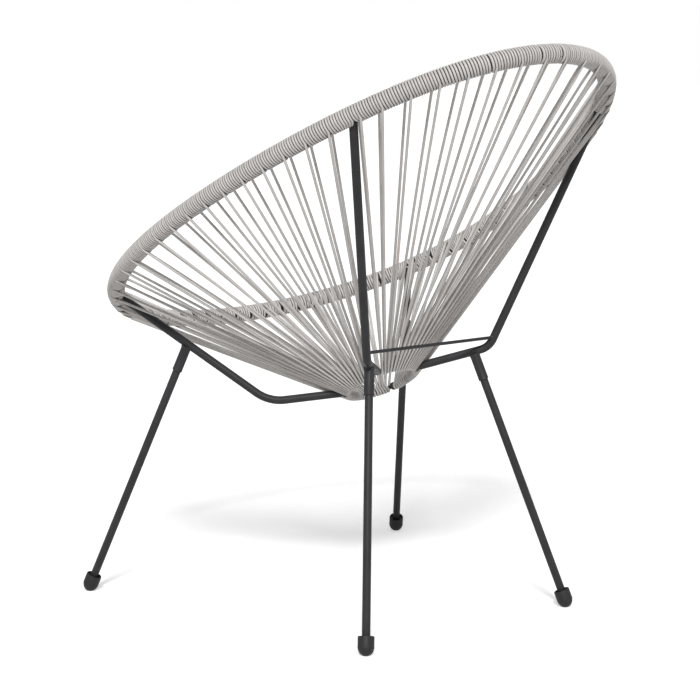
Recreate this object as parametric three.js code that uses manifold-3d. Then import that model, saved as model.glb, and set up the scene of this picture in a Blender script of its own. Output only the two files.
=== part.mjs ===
// Round lounge chair: an egg-shaped hoop and a small base ring strung together with light cord,
// carried by four bent steel arms with a plug-in leg and a rubber foot cap at each corner.
// Millimetres, +Z up, the sitter looks along -Y, the floor is at Z = 0 and the hoop's middle over X = Y = 0.
import * as THREE from "three";
import { mergeVertices } from "three/addons/utils/BufferGeometryUtils.js";
import Module from "manifold-3d";

// Clearances
const touchGap = 0.3;
const cutOverrun = 4;

// Hoop: an egg outline in one tilted plane, low at the front and high at the back
const hoopHalfWidth = 336;
const hoopHalfLength = 442;
const hoopTaperShares = [1, -0.218, 0.081, 0.035];
const hoopTilt = THREE.MathUtils.degToRad(29.5);
const hoopCentreHeight = 618.7;
const hoopTubeRadius = 9.5;

// Base ring under the seat
const ringRadius = 56;
const ringRodRadius = 3;
const ringTilt = THREE.MathUtils.degToRad(31.4);
const ringCentre = { y: 20.5, z: 343.5 };

// Cord
const cordRadius = 2;
const strandLift = 1;
const pairSpread = 2.15;
const sectionGap = 0.5;
const loopSplit = 0.9;
const loopLeanShare = 0.15;
const armLoopRoom = 0.45;
const armSlides = [1.8, 1.7];

// Arms, from the hoop down to a bend and on to the base ring
const armRadius = 6.2;
const frontArmPlaceShare = 0.281;
const rearArmPlaceShare = 0.759;
const frontBend = { x: 132.2, y: -85.5, z: 311.9 };
const rearBend = { x: 119.4, y: 132.2, z: 397.1 };
const frontBendRadius = 62;
const rearBendRadius = 30;

// Crossbar between the two rear arms
const barRadius = 2.5;
const barAboveBend = 15.4;

// Legs, sockets and foot caps
const frontFoot = { x: 314.7, y: -312.5 };
const rearFoot = { x: 196.7, y: 224.1 };
const frontSocketFromBend = 152;
const rearSocketFromBend = 24.3;
const socketRadius = 7.5;
const socketReach = 45;
const legRadius = 6.1;
const legStartFromArm = 9;
const capRadius = 12;
const capFlat = 0.8;
const capTop = 16;
const capSeam = 1.2;
const capSeamStep = 0.4;
const capLipWidth = 1.8;
const capRecessDepth = 4;
const capBoreDepth = 20;

// Colours read from the photograph
const cordLook = { color: 0xc4c0bd, roughness: 0.42, metalness: 0 };
const steelLook = { color: 0x434345, roughness: 0.5, metalness: 0.35 };
const rubberLook = { color: 0x2f2f30, roughness: 0.75, metalness: 0 };

// Facet counts
const hoopSides = 8;
const armSides = 10;
const bendSteps = 5;
const cordSides = 5;
const loopSteps = 3;
const latheSides = 14;
const ringSteps = 36;
const arcSamples = 1440;

// Cord pairs in each half, front to rear: one stands right behind each arm, the others spread
const frontPairs = 11;
const sidePairs = 15;
const rearPairs = 7;
const sideLeadShare = 1.17;
const rearStepShare = 0.139;
const leftTightenShare = 0.003;
const rightTightenShare = 0;
const pairsPerSection = [
  [6, 5],
  [6, 5, 5],
  [4, 4],
];
const longestStraight = 44;

const wasm = await Module();
wasm.setup();

const vec = (x, y, z) => new THREE.Vector3(x, y, z);
const facetRadius = (radius, sides) => radius / Math.cos(Math.PI / sides);
const sum = (list) => list.reduce((a, b) => a + b, 0);

// A closed geometry as a manifold solid.
function solidOf(geometry) {
  const bare = geometry.clone();
  bare.deleteAttribute("normal");
  bare.deleteAttribute("uv");
  const merged = mergeVertices(bare, 1e-4);
  return new wasm.Manifold(
    new wasm.Mesh({
      numProp: 3,
      vertProperties: merged.attributes.position.array,
      triVerts: new Uint32Array(merged.index.array),
    }),
  );
}

// A manifold solid as a flat-shaded geometry.
function geometryOf(solid) {
  const mesh = solid.getMesh();
  const geometry = new THREE.BufferGeometry();
  geometry.setAttribute("position", new THREE.BufferAttribute(mesh.vertProperties, 3));
  geometry.setIndex(new THREE.BufferAttribute(mesh.triVerts, 1));
  const flat = geometry.toNonIndexed();
  flat.computeVertexNormals();
  return flat;
}

// A route given by its own stations, so that an extrusion has one ring at each.
class Route extends THREE.Curve {
  constructor(points) {
    super();
    this.points = points;
  }

  getPoint(t) {
    const last = this.points.length - 1;
    const place = THREE.MathUtils.clamp(t, 0, 1) * last;
    const from = Math.min(Math.floor(place), last - 1);
    return this.points[from].clone().lerp(this.points[from + 1], place - from);
  }

  getPointAt(u) {
    return this.getPoint(u);
  }

  getTangentAt(u) {
    const last = this.points.length - 1;
    const at = Math.round(u * last);
    const before = this.points[Math.max(at - 1, 0)];
    const here = this.points[at];
    const after = this.points[Math.min(at + 1, last)];
    const into = here.clone().sub(before).normalize();
    const out = after.clone().sub(here).normalize();
    return into.add(out).normalize();
  }
}

// A polygon section swept along a route.
function tube(points, radius, sides) {
  const section = new THREE.Shape();
  section.setFromPoints(
    Array.from({ length: sides }, (_, i) => {
      const angle = (i / sides) * Math.PI * 2;
      return new THREE.Vector2(Math.cos(angle) * radius, Math.sin(angle) * radius);
    }),
  );
  return new THREE.ExtrudeGeometry(section, {
    steps: points.length - 1,
    extrudePath: new Route(points),
    bevelEnabled: false,
  });
}

// A closed profile turned round an axis; its points are [radius, height along the axis].
function turned(profile, origin, axis, sides) {
  const points = profile.map(([r, h]) => new THREE.Vector2(r, h));
  const geometry = new THREE.LatheGeometry(points, sides);
  const turn = new THREE.Quaternion().setFromUnitVectors(vec(0, 1, 0), axis);
  geometry.applyQuaternion(turn);
  geometry.translate(origin.x, origin.y, origin.z);
  return geometry;
}

// A straight cutter round an axis, wide enough that its flats clear the radius.
function cutter(middle, axis, radius, halfLength) {
  const wide = facetRadius(radius, latheSides);
  const profile = [
    [0, -halfLength],
    [wide, -halfLength],
    [wide, halfLength],
    [0, halfLength],
  ];
  return solidOf(turned(profile, middle, axis, latheSides));
}

// Rings of equal length joined into a skin; closed rings of rings join end to start.
function joinRings(rings, positions, index, closed, inward) {
  const base = positions.length / 3;
  const sides = rings[0].length;
  rings.flat().forEach((p) => positions.push(p.x, p.y, p.z));
  const spans = closed ? rings.length : rings.length - 1;
  for (let i = 0; i < spans; i += 1) {
    const next = (i + 1) % rings.length;
    for (let j = 0; j < sides; j += 1) {
      const k = (j + 1) % sides;
      const quad = [i * sides + j, i * sides + k, next * sides + k, next * sides + j];
      const [a, b, c, d] = quad.map((v) => v + base);
      if (inward) index.push(a, b, c, a, c, d);
      else index.push(a, c, b, a, d, c);
    }
  }
  return base;
}

function bufferOf(positions, index) {
  const geometry = new THREE.BufferGeometry();
  geometry.setAttribute("position", new THREE.Float32BufferAttribute(positions, 3));
  geometry.setIndex(index);
  return geometry;
}

// A closed tube through rings that run all the way round.
function closedTube(rings) {
  const positions = [];
  const index = [];
  joinRings(rings, positions, index, true, false);
  return bufferOf(positions, index);
}

// A sleeve: outer rings, bore rings and a flat annulus at each end.
function sleeve(outerRings, boreRings) {
  const positions = [];
  const index = [];
  const sides = outerRings[0].length;
  const outer = joinRings(outerRings, positions, index, false, false);
  const bore = joinRings(boreRings, positions, index, false, true);
  const outerEnd = outer + (outerRings.length - 1) * sides;
  const boreEnd = bore + (boreRings.length - 1) * sides;
  for (let j = 0; j < sides; j += 1) {
    const k = (j + 1) % sides;
    index.push(outer + j, bore + k, bore + j, outer + j, outer + k, bore + k);
    index.push(outerEnd + j, boreEnd + j, boreEnd + k, outerEnd + j, boreEnd + k, outerEnd + k);
  }
  return bufferOf(positions, index);
}

// Hoop outline: the angle runs from -90 degrees at the front to +90 degrees at the back.
const hoopUp = vec(0, -Math.sin(hoopTilt), Math.cos(hoopTilt));
function hoopPoint(angle) {
  const along = Math.sin(angle);
  const taper = sum(hoopTaperShares.map((share, power) => share * along ** power));
  const reach = hoopHalfLength * along;
  return vec(
    hoopHalfWidth * Math.cos(angle) * taper,
    reach * Math.cos(hoopTilt),
    hoopCentreHeight + reach * Math.sin(hoopTilt),
  );
}

// Lengths along the left half of the hoop, from the front middle to the back middle.
const hoopSamples = Array.from({ length: arcSamples + 1 }, (_, i) =>
  hoopPoint((i / arcSamples - 0.5) * Math.PI),
);
const hoopLengths = [0];
for (let i = 1; i <= arcSamples; i += 1) {
  hoopLengths.push(hoopLengths[i - 1] + hoopSamples[i].distanceTo(hoopSamples[i - 1]));
}
const hoopHalf = hoopLengths[arcSamples];

// The hoop's centreline at a length from the front middle, going up the left side and round.
function hoopAt(length) {
  const round = ((length % (2 * hoopHalf)) + 2 * hoopHalf) % (2 * hoopHalf);
  const right = round > hoopHalf;
  const want = right ? 2 * hoopHalf - round : round;
  let i = hoopLengths.findIndex((l) => l >= want);
  i = Math.max(i, 1);
  const share = (want - hoopLengths[i - 1]) / (hoopLengths[i] - hoopLengths[i - 1]);
  const point = hoopSamples[i - 1].clone().lerp(hoopSamples[i], share);
  const tangent = hoopSamples[i].clone().sub(hoopSamples[i - 1]).normalize();
  if (right) {
    point.x = -point.x;
    tangent.set(tangent.x, -tangent.y, -tangent.z);
  }
  return { point, tangent };
}

// The base ring's centreline: the angle runs like the hoop's.
const ringUp = vec(0, -Math.sin(ringTilt), Math.cos(ringTilt));
function ringAt(angle) {
  const across = Math.cos(angle) * ringRadius;
  const reach = Math.sin(angle) * ringRadius;
  const point = vec(
    across,
    ringCentre.y + reach * Math.cos(ringTilt),
    ringCentre.z + reach * Math.sin(ringTilt),
  );
  const tangent = vec(
    -Math.sin(angle),
    Math.cos(angle) * Math.cos(ringTilt),
    Math.cos(angle) * Math.sin(ringTilt),
  );
  return { point, tangent };
}

// Regular section round a station of a planar closed line.
function sectionRing(point, tangent, up, radius, sides) {
  const side = tangent.clone().cross(up).normalize();
  return Array.from({ length: sides }, (_, j) => {
    const angle = ((j + 0.5) / sides) * Math.PI * 2;
    return point
      .clone()
      .addScaledVector(side, Math.cos(angle) * radius)
      .addScaledVector(up, Math.sin(angle) * radius);
  });
}

// Places of the cord pairs along the hoop and round the ring, front to rear
const frontArmPlace = frontArmPlaceShare * hoopHalf;
const rearArmPlace = rearArmPlaceShare * hoopHalf;
const armPairShift = armRadius + touchGap + cordRadius + pairSpread / 2;
const frontStep = frontArmPlace / (frontPairs + 0.5);
const sideStep = (rearArmPlace - frontArmPlace) / (sidePairs + sideLeadShare);
const sideStart = frontArmPlace + sideLeadShare * sideStep;
const rearReach = hoopHalf - rearArmPlace;
const rearStep = rearStepShare * rearReach;
const evenly = (count, from, step) => Array.from({ length: count }, (_, i) => from + i * step);
const rearRun = (tightenShare) =>
  evenly(rearPairs, rearArmPlace + rearStep, rearStep).map(
    (place, i) => place - (tightenShare * rearReach * i * (i + 1)) / 2,
  );
const pairRunsOf = (tightenShare) => [
  evenly(frontPairs, frontStep / 2, frontStep),
  [frontArmPlace + armPairShift, ...evenly(sidePairs, sideStart, sideStep)],
  [rearArmPlace + armPairShift, ...rearRun(tightenShare)],
];
const runEnds = [0, frontArmPlace, rearArmPlace, hoopHalf];
const armRoom = 2 * (armRadius + touchGap + armLoopRoom);
const halfPairs = sum(pairsPerSection.flat());
const splitCount = sum(pairsPerSection.map((run) => run.length - 1)) + 1;
const armCount = pairsPerSection.length - 1;
const halfRing = Math.PI * ringRadius;
const ringStep = (halfRing - splitCount * loopSplit - armCount * armRoom) / halfPairs;

// Borders of a section: its ends and the middles between its pairs, long stretches halved.
function sectionBorders(places, from, to) {
  const middles = places.slice(1).map((place, i) => (place + places[i]) / 2);
  return [from, ...middles, to].flatMap((place, i, all) => {
    const before = i > 0 ? all[i - 1] : place;
    return place - before > longestStraight ? [(place + before) / 2, place] : [place];
  });
}

function halfPlaces(tightenShare) {
  const sections = [];
  const armAngles = [];
  let ringPlace = loopSplit / 2;
  pairRunsOf(tightenShare).forEach((places, r) => {
    let made = 0;
    pairsPerSection[r].forEach((count) => {
      const own = places.slice(made, made + count);
      const ends = [made, made + count].map((i) => {
        if (i === 0) return runEnds[r];
        return i === places.length ? runEnds[r + 1] : (places[i - 1] + places[i]) / 2;
      });
      const pairs = own.map((hoop, i) => ({
        hoop,
        ring: (ringPlace + (i + 0.5) * ringStep) / ringRadius - Math.PI / 2,
      }));
      sections.push({ borders: sectionBorders(own, ends[0], ends[1]), pairs });
      made += count;
      ringPlace += count * ringStep;
      if (made === places.length && r < armCount) {
        armAngles.push((ringPlace + armRoom / 2 + armSlides[r]) / ringRadius - Math.PI / 2);
        ringPlace += armRoom;
      } else {
        ringPlace += loopSplit;
      }
    });
  });
  return { sections, armAngles };
}

const { sections: leftSections, armAngles } = halfPlaces(leftTightenShare);
const rightSections = halfPlaces(rightTightenShare).sections.map((section) => ({
  borders: section.borders.map((place) => 2 * hoopHalf - place).reverse(),
  pairs: section.pairs
    .map((pair) => ({ hoop: 2 * hoopHalf - pair.hoop, ring: Math.PI - pair.ring }))
    .reverse(),
}));
const sections = [...leftSections, ...rightSections.reverse()];

// Hoop tube: one ring at each border, shared with the bore of the winding
const borderStations = sections.flatMap((section) => section.borders.slice(1).map(hoopAt));
const hoopTube = closedTube(
  borderStations.map((s) => sectionRing(s.point, s.tangent, hoopUp, hoopTubeRadius, hoopSides)),
);

// Base ring rod
const ringStations = Array.from({ length: ringSteps }, (_, i) =>
  ringAt((i / ringSteps) * Math.PI * 2),
);
const ringRod = closedTube(
  ringStations.map((s) => sectionRing(s.point, s.tangent, ringUp, ringRodRadius, hoopSides)),
);

// A corner of a rod rounded by an arc, its stations from the first point to the last.
function roundedRoute(from, corner, to, radius) {
  const back = from.clone().sub(corner).normalize();
  const on = to.clone().sub(corner).normalize();
  const half = back.angleTo(on) / 2;
  const setback = radius / Math.tan(half);
  const middle = back.clone().add(on).normalize();
  const centre = corner.clone().addScaledVector(middle, radius / Math.sin(half));
  const first = corner.clone().addScaledVector(back, setback).sub(centre);
  const last = corner.clone().addScaledVector(on, setback).sub(centre);
  const sweep = first.angleTo(last);
  const spin = first.clone().cross(last).normalize();
  const arc = Array.from({ length: bendSteps + 1 }, (_, i) =>
    first
      .clone()
      .applyAxisAngle(spin, (i / bendSteps) * sweep)
      .add(centre),
  );
  return [from.clone(), ...arc, to.clone()];
}

// The four arms
function armOf(place, bend, angle, radius) {
  const hoop = hoopAt(place);
  const ring = ringAt(angle);
  const corner = vec(bend.x, bend.y, bend.z);
  const ringEnd = corner.clone().sub(ring.point).setLength(ringRodRadius + touchGap).add(ring.point);
  const route = roundedRoute(hoop.point, corner, ringEnd, radius);
  const reach = hoopTubeRadius + armRadius + cutOverrun;
  const solid = solidOf(tube(route, armRadius, armSides))
    .subtract(cutter(hoop.point, hoop.tangent, hoopTubeRadius + touchGap, reach))
    .subtract(cutter(ring.point, ring.tangent, ringRodRadius + touchGap, armRadius + cutOverrun));
  return { solid, route, hoop, corner, ringEnd };
}
const frontArm = armOf(frontArmPlace, frontBend, armAngles[0], frontBendRadius);
const rearArm = armOf(rearArmPlace, rearBend, armAngles[1], rearBendRadius);

// Socket, leg and foot cap of one corner
function cornerPieces(arm, towards, fromBend, foot) {
  const along = towards.clone().sub(arm.corner).normalize();
  const seat = arm.corner.clone().addScaledVector(along, fromBend);
  const domeCentre = vec(foot.x, foot.y, capRadius - capFlat);
  const axis = domeCentre.clone().sub(seat).normalize();
  const down = seat.distanceTo(domeCentre);
  const bore = facetRadius(legRadius + touchGap, latheSides);
  const socketProfile = [
    [bore, 0],
    [socketRadius, 0],
    [socketRadius, socketReach],
    [bore, socketReach],
    [bore, 0],
  ];
  const armCut = cutter(seat, along, armRadius + touchGap, socketRadius + armRadius + cutOverrun);
  const socket = solidOf(turned(socketProfile, seat, axis, latheSides)).subtract(armCut);
  const legEnd = down - capTop + capBoreDepth - touchGap;
  const legProfile = [
    [0, legStartFromArm],
    [legRadius, legStartFromArm],
    [legRadius, legEnd],
    [0, legEnd],
  ];
  const leg = turned(legProfile, seat, axis, latheSides);
  const recessFloor = capTop - capRecessDepth;
  const boreFloor = capTop - capBoreDepth;
  const dome = [0.25, 0.5, 0.75].map((share) => {
    const angle = (share * Math.PI) / 2;
    return [Math.cos(angle) * (capRadius - capSeamStep), -Math.sin(angle) * capRadius];
  });
  const capProfile = [
    [0, -capRadius],
    ...dome.reverse(),
    [capRadius - capSeamStep, -capSeam],
    [capRadius, -capSeam],
    [capRadius, capTop],
    [capRadius - capLipWidth, capTop],
    [capRadius - capLipWidth, recessFloor],
    [bore, recessFloor],
    [bore, boreFloor],
    [0, boreFloor],
  ];
  const up = axis.clone().negate();
  const underFloor = vec(domeCentre.x, domeCentre.y, -capRadius);
  const floorCut = cutter(underFloor, vec(0, 0, 1), 2 * capRadius, capRadius);
  const cap = solidOf(turned(capProfile, domeCentre, up, latheSides)).subtract(floorCut);
  return { socket, leg: solidOf(leg), cap };
}
const frontCorner = cornerPieces(frontArm, frontArm.hoop.point, frontSocketFromBend, frontFoot);
const rearCorner = cornerPieces(rearArm, rearArm.ringEnd, rearSocketFromBend, rearFoot);

// Crossbar, cut to the two rear arms at its height
function pointAtHeight(route, height) {
  const i = route.findIndex((p) => p.z < height);
  const share = (route[i - 1].z - height) / (route[i - 1].z - route[i].z);
  return route[i - 1].clone().lerp(route[i], share);
}
const barEnd = pointAtHeight(rearArm.route, rearBend.z + barAboveBend);
const mirrored = (p) => vec(-p.x, p.y, p.z);
function mirroredSolid(solid) {
  return solid.mirror([1, 0, 0]);
}
const armSlope = rearArm.hoop.point.clone().sub(rearArm.corner).normalize();
const barCutReach = armRadius + cutOverrun;
const barBlank = solidOf(tube([mirrored(barEnd), barEnd], barRadius, hoopSides));
const barCut = cutter(barEnd, armSlope, armRadius + touchGap, barCutReach);
const crossbar = barBlank.subtract(barCut).subtract(mirroredSolid(barCut));

// One pair of strands: down outside the seat, under the ring rod and up inside the seat
const windRadius = hoopTubeRadius + cordRadius + touchGap + strandLift;
const loopRadius = ringRodRadius + cordRadius + touchGap;
function pairRoute(pair) {
  const shift = pairSpread / 2;
  const ringShift = (ringStep * loopLeanShare) / ringRadius;
  const ends = [-1, 1].map((side) => {
    const hoop = hoopAt(pair.hoop + side * shift);
    const ring = ringAt(pair.ring + side * ringShift);
    const along = ring.point.clone().sub(hoop.point).normalize();
    const inward = hoop.tangent.clone().add(ring.tangent).cross(along).normalize();
    if (inward.dot(hoopUp) < 0) inward.negate();
    return { hoop, ring, along, inward, side };
  });
  const [outer, inner] = ends;
  const top = (end) => end.hoop.point.clone().addScaledVector(end.inward, end.side * windRadius);
  const points = [top(outer)];
  const wide = facetRadius(loopRadius, 2 * loopSteps);
  for (let i = 0; i < loopSteps; i += 1) {
    const share = (i + 0.5) / loopSteps;
    const angle = share * Math.PI;
    const middle = outer.ring.point.clone().lerp(inner.ring.point, share);
    const along = outer.along.clone().lerp(inner.along, share).normalize();
    const inward = outer.inward.clone().lerp(inner.inward, share).normalize();
    points.push(
      middle
        .addScaledVector(inward, -Math.cos(angle) * wide)
        .addScaledVector(along, Math.sin(angle) * wide),
    );
  }
  points.push(top(inner));
  return points;
}

// One length of cord: the winding over its stretch of the hoop with the strand pairs it feeds
function cordSection(section, armCuts) {
  const stations = section.borders.map(hoopAt);
  const last = stations.length - 1;
  const trim = (end, next) => {
    const step = next.point.clone().sub(end.point).setLength(sectionGap / 2);
    return { point: end.point.clone().add(step), tangent: end.tangent };
  };
  const trimmed = [
    trim(stations[0], stations[1]),
    ...stations.slice(1, last),
    trim(stations[last], stations[last - 1]),
  ];
  const crest = hoopTubeRadius + 2 * cordRadius;
  const bore = hoopTubeRadius + facetRadius(touchGap, hoopSides);
  const ring = (s, radius) => sectionRing(s.point, s.tangent, hoopUp, radius, hoopSides);
  const outerRings = trimmed.map((s) => ring(s, crest));
  const boreRings = trimmed.map((s) => ring(s, bore));
  let solid = solidOf(sleeve(outerRings, boreRings));
  section.pairs.forEach((pair) => {
    solid = solid.add(solidOf(tube(pairRoute(pair), cordRadius, cordSides)));
  });
  armCuts.forEach((cut) => {
    solid = solid.subtract(cut);
  });
  return solid;
}

// Room left in the winding where an arm meets the hoop
const armCutReach = hoopTubeRadius + 2 * cordRadius + cutOverrun;
const armCutsLeft = [frontArm, rearArm].map((arm) => {
  const axis = arm.corner.clone().sub(arm.hoop.point).normalize();
  const middle = arm.hoop.point.clone().addScaledVector(axis, armCutReach);
  return cutter(middle, axis, armRadius + touchGap, armCutReach);
});
const armCuts = [...armCutsLeft, ...armCutsLeft.map(mirroredSolid)];

// Scene graph
const chair = new THREE.Group();
function addPiece(name, look, geometry) {
  const mesh = new THREE.Mesh(geometry, new THREE.MeshStandardMaterial(look));
  mesh.name = name;
  chair.add(mesh);
}
function addBothSides(name, look, solid) {
  addPiece(`${name}_left`, look, geometryOf(solid));
  addPiece(`${name}_right`, look, geometryOf(mirroredSolid(solid)));
}

addPiece("hoop_tube", steelLook, hoopTube);
addPiece("base_ring", steelLook, ringRod);
addPiece("rear_crossbar", steelLook, geometryOf(crossbar));
addBothSides("front_arm", steelLook, frontArm.solid);
addBothSides("rear_arm", steelLook, rearArm.solid);
addBothSides("front_socket", steelLook, frontCorner.socket);
addBothSides("rear_socket", steelLook, rearCorner.socket);
addBothSides("front_leg", steelLook, frontCorner.leg);
addBothSides("rear_leg", steelLook, rearCorner.leg);
addBothSides("front_foot_cap", rubberLook, frontCorner.cap);
addBothSides("rear_foot_cap", rubberLook, rearCorner.cap);
sections.forEach((section, i) => {
  const number = String(i + 1).padStart(2, "0");
  addPiece(`cord_section_${number}`, cordLook, geometryOf(cordSection(section, armCuts)));
});

export default chair;
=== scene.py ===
import bisect
import math
import random

import bmesh
import bpy
from mathutils import Matrix, Vector
from mathutils.kdtree import KDTree


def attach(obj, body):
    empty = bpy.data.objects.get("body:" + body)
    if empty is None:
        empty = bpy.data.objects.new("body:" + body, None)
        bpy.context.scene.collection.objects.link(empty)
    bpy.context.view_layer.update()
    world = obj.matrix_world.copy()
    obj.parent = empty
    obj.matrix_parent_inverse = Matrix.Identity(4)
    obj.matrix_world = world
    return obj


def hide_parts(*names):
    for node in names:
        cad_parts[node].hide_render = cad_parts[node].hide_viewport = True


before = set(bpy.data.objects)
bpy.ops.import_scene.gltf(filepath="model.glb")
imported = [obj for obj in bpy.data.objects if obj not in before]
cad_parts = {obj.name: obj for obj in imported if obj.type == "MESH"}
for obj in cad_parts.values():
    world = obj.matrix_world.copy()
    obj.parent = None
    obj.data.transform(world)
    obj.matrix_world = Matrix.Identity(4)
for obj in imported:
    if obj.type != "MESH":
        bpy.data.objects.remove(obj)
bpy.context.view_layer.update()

bl_info = {
    "name": "Strung Lounge Chair",
    "version": (1, 0, 0),
    "blender": (4, 5, 0),
    "location": "3D View > Sidebar > Chair",
    "description": "Builds a round lounge chair strung with cord, on bent steel legs",
    "category": "Add Mesh",
}

MM = 0.001
FRONT_REAR = ((False, "front"), (True, "rear"))
LEFT_RIGHT = ("left", "right")
QUARTER = math.pi / 2
TURN = 2 * math.pi
FIT_GAP = 0.3 * MM
MERGE_DISTANCE = 1e-7
SMOOTH_BELOW = math.radians(38)
SOFTEN_ABOVE = math.radians(40)
LATHE_STEPS = 32
CAP_BORE = 20 * MM


def sort_of(kind, **fixed):
    """A sort of property, by its type and fixed settings."""

    def made(name, description, default):
        return kind(name=name, description=description, default=default, **fixed)

    return made


length = sort_of(bpy.props.FloatProperty, unit="LENGTH", precision=5)
angle = sort_of(bpy.props.FloatProperty, unit="ROTATION")
place = sort_of(bpy.props.FloatVectorProperty, subtype="TRANSLATION", precision=5)
portion = sort_of(bpy.props.FloatProperty, min=0.0, max=1.0, subtype="FACTOR")
ratio = sort_of(bpy.props.FloatProperty)
number = sort_of(bpy.props.IntProperty, min=1)
powers = sort_of(bpy.props.FloatVectorProperty, size=4)
paint = sort_of(bpy.props.FloatVectorProperty, size=3, min=0, max=1, subtype="COLOR")


class HoopSizes(bpy.types.PropertyGroup):
    half_width: length("Half width", "Widest point of the hoop's centreline from the middle", 0.336)
    half_length: length("Half length", "Front or back end of the hoop from its middle", 0.442)
    tilt: angle("Tilt", "Slope of the hoop, rising to the back", math.radians(29.5))
    height: length("Height", "Height of the hoop's middle", 0.6187)
    tube_radius: length("Tube radius", "Radius of the bare hoop tube", 0.0095)
    taper: powers("Taper", "Width by powers of the place along it", (1, -0.218, 0.081, 0.035))


class RingSizes(bpy.types.PropertyGroup):
    radius: length("Radius", "Radius of the base ring's centreline", 0.056)
    rod_radius: length("Rod radius", "Radius of the base ring's rod", 0.003)
    tilt: angle("Tilt", "Slope of the base ring, rising to the back", math.radians(31.4))
    middle: place("Middle", "Centre of the base ring", (0, 0.0205, 0.3435))


class CordSizes(bpy.types.PropertyGroup):
    radius: length("Radius", "Radius of the cord", 0.002)
    pitch: length("Pitch", "Distance between turns on the hoop", 0.00412)
    pair_spread: length("Pair spread", "Inner strand's lead, front and sides", 0.00215)
    rear_spread: length("Rear spread", "Outer strand's lead, behind the arms", 0.0018)
    split: length("Split", "Room round the base ring between two groups of loops", 0.0009)
    arm_room: length("Arm room", "Room round the base ring on each side of an arm", 0.00075)
    arm_lean: length("Arm lean", "How far the loop beside an arm leans over the arm's end", 0.0036)
    lean_loops: number("Leaning loops", "Loops that lean to an arm, less and less", 7)
    front_pairs: number("Front pairs", "Pairs before the front arm", 11)
    side_pairs: number("Side pairs", "Pairs between two arms", 15)
    rear_pairs: number("Rear pairs", "Pairs behind the rear arm", 7)
    strand_lift: length("Strand lift", "How far a strand stands off the winding", 0.0012)
    side_lead: ratio("Side lead", "First gap of the side pairs, in steps between them", 1.17)
    rear_step: portion("Rear step", "Step of the rear pairs, of the hoop behind the arm", 0.139)
    rear_tighten: portion("Rear tightening", "Loss per step of the left rear spacing", 0.003)


class ArmSizes(bpy.types.PropertyGroup):
    radius: length("Rod radius", "Radius of the bent arm rods", 0.0062)
    front_share: portion("Front place", "Front arm's place along half the hoop", 0.281)
    rear_share: portion("Rear place", "Rear arm's place along half the hoop", 0.759)
    front_slip: length("Front slip", "How far the front arm sits below that place", 0.0068)
    front_bend: place("Front bend", "Corner of the left front arm", (0.1322, -0.0855, 0.3119))
    rear_bend: place("Rear bend", "Corner of the left rear arm", (0.1194, 0.1322, 0.3971))
    front_bend_radius: length("Front bend radius", "Radius of the front arm's bend", 0.062)
    rear_bend_radius: length("Rear bend radius", "Radius of the rear arm's bend", 0.030)
    bar_radius: length("Crossbar radius", "Radius of the crossbar", 0.0025)
    bar_above_bend: length("Crossbar height", "Height of the crossbar above the rear bend", 0.0154)


class LegSizes(bpy.types.PropertyGroup):
    front_foot: place("Front foot", "Left front foot on the floor", (0.3147, -0.3125, 0))
    rear_foot: place("Rear foot", "Left rear foot on the floor", (0.1967, 0.2241, 0))
    front_socket: length("Front socket place", "Socket's distance from the front bend", 0.152)
    rear_socket: length("Rear socket place", "Socket's distance from the rear bend", 0.0243)
    socket_radius: length("Socket radius", "Outer radius of a leg socket", 0.0075)
    socket_reach: length("Socket reach", "End of a socket from the arm's middle", 0.045)
    radius: length("Leg radius", "Radius of a leg rod", 0.0061)
    cap_radius: length("Cap radius", "Radius of a foot cap", 0.012)
    cap_flat: length("Cap flat", "Rubber pressed flat at the bottom of a cap", 0.0008)
    cap_top: length("Cap top", "Top of a cap above its dome's middle", 0.016)


class ChairColours(bpy.types.PropertyGroup):
    cord: paint("Cord", "Warm light grey cord", (0.60, 0.572, 0.552))
    # Painted shade for the cord where two runs of it touch, mixed in through the crevice mask
    grime: paint("Grime", "Shade and dust where two runs of cord touch", (0.05, 0.046, 0.043))
    steel: paint("Steel", "Charcoal powder coat", (0.029, 0.029, 0.031))
    rubber: paint("Rubber", "Foot cap rubber", (0.013, 0.013, 0.0138))


# Shader expressions


class Signal:
    """A shader socket that takes part in arithmetic, each operation adding its Math node."""

    def __init__(self, finish, socket):
        self.finish = finish
        self.socket = socket

    def joined(self, operation, first, second):
        return self.finish.node("ShaderNodeMath", {"operation": operation}, {0: first, 1: second})

    def __add__(self, other):
        return self.joined("ADD", self, other)

    def __radd__(self, other):
        return self.joined("ADD", other, self)

    def __mul__(self, other):
        return self.joined("MULTIPLY", self, other)

    def __rmul__(self, other):
        return self.joined("MULTIPLY", other, self)

    def above(self, low, high):
        """0 below low, 1 above high and smooth between."""
        settings = {"interpolation_type": "SMOOTHSTEP"}
        values = {"Value": self, "From Min": low, "From Max": high}
        return self.finish.node("ShaderNodeMapRange", settings, values)


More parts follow.
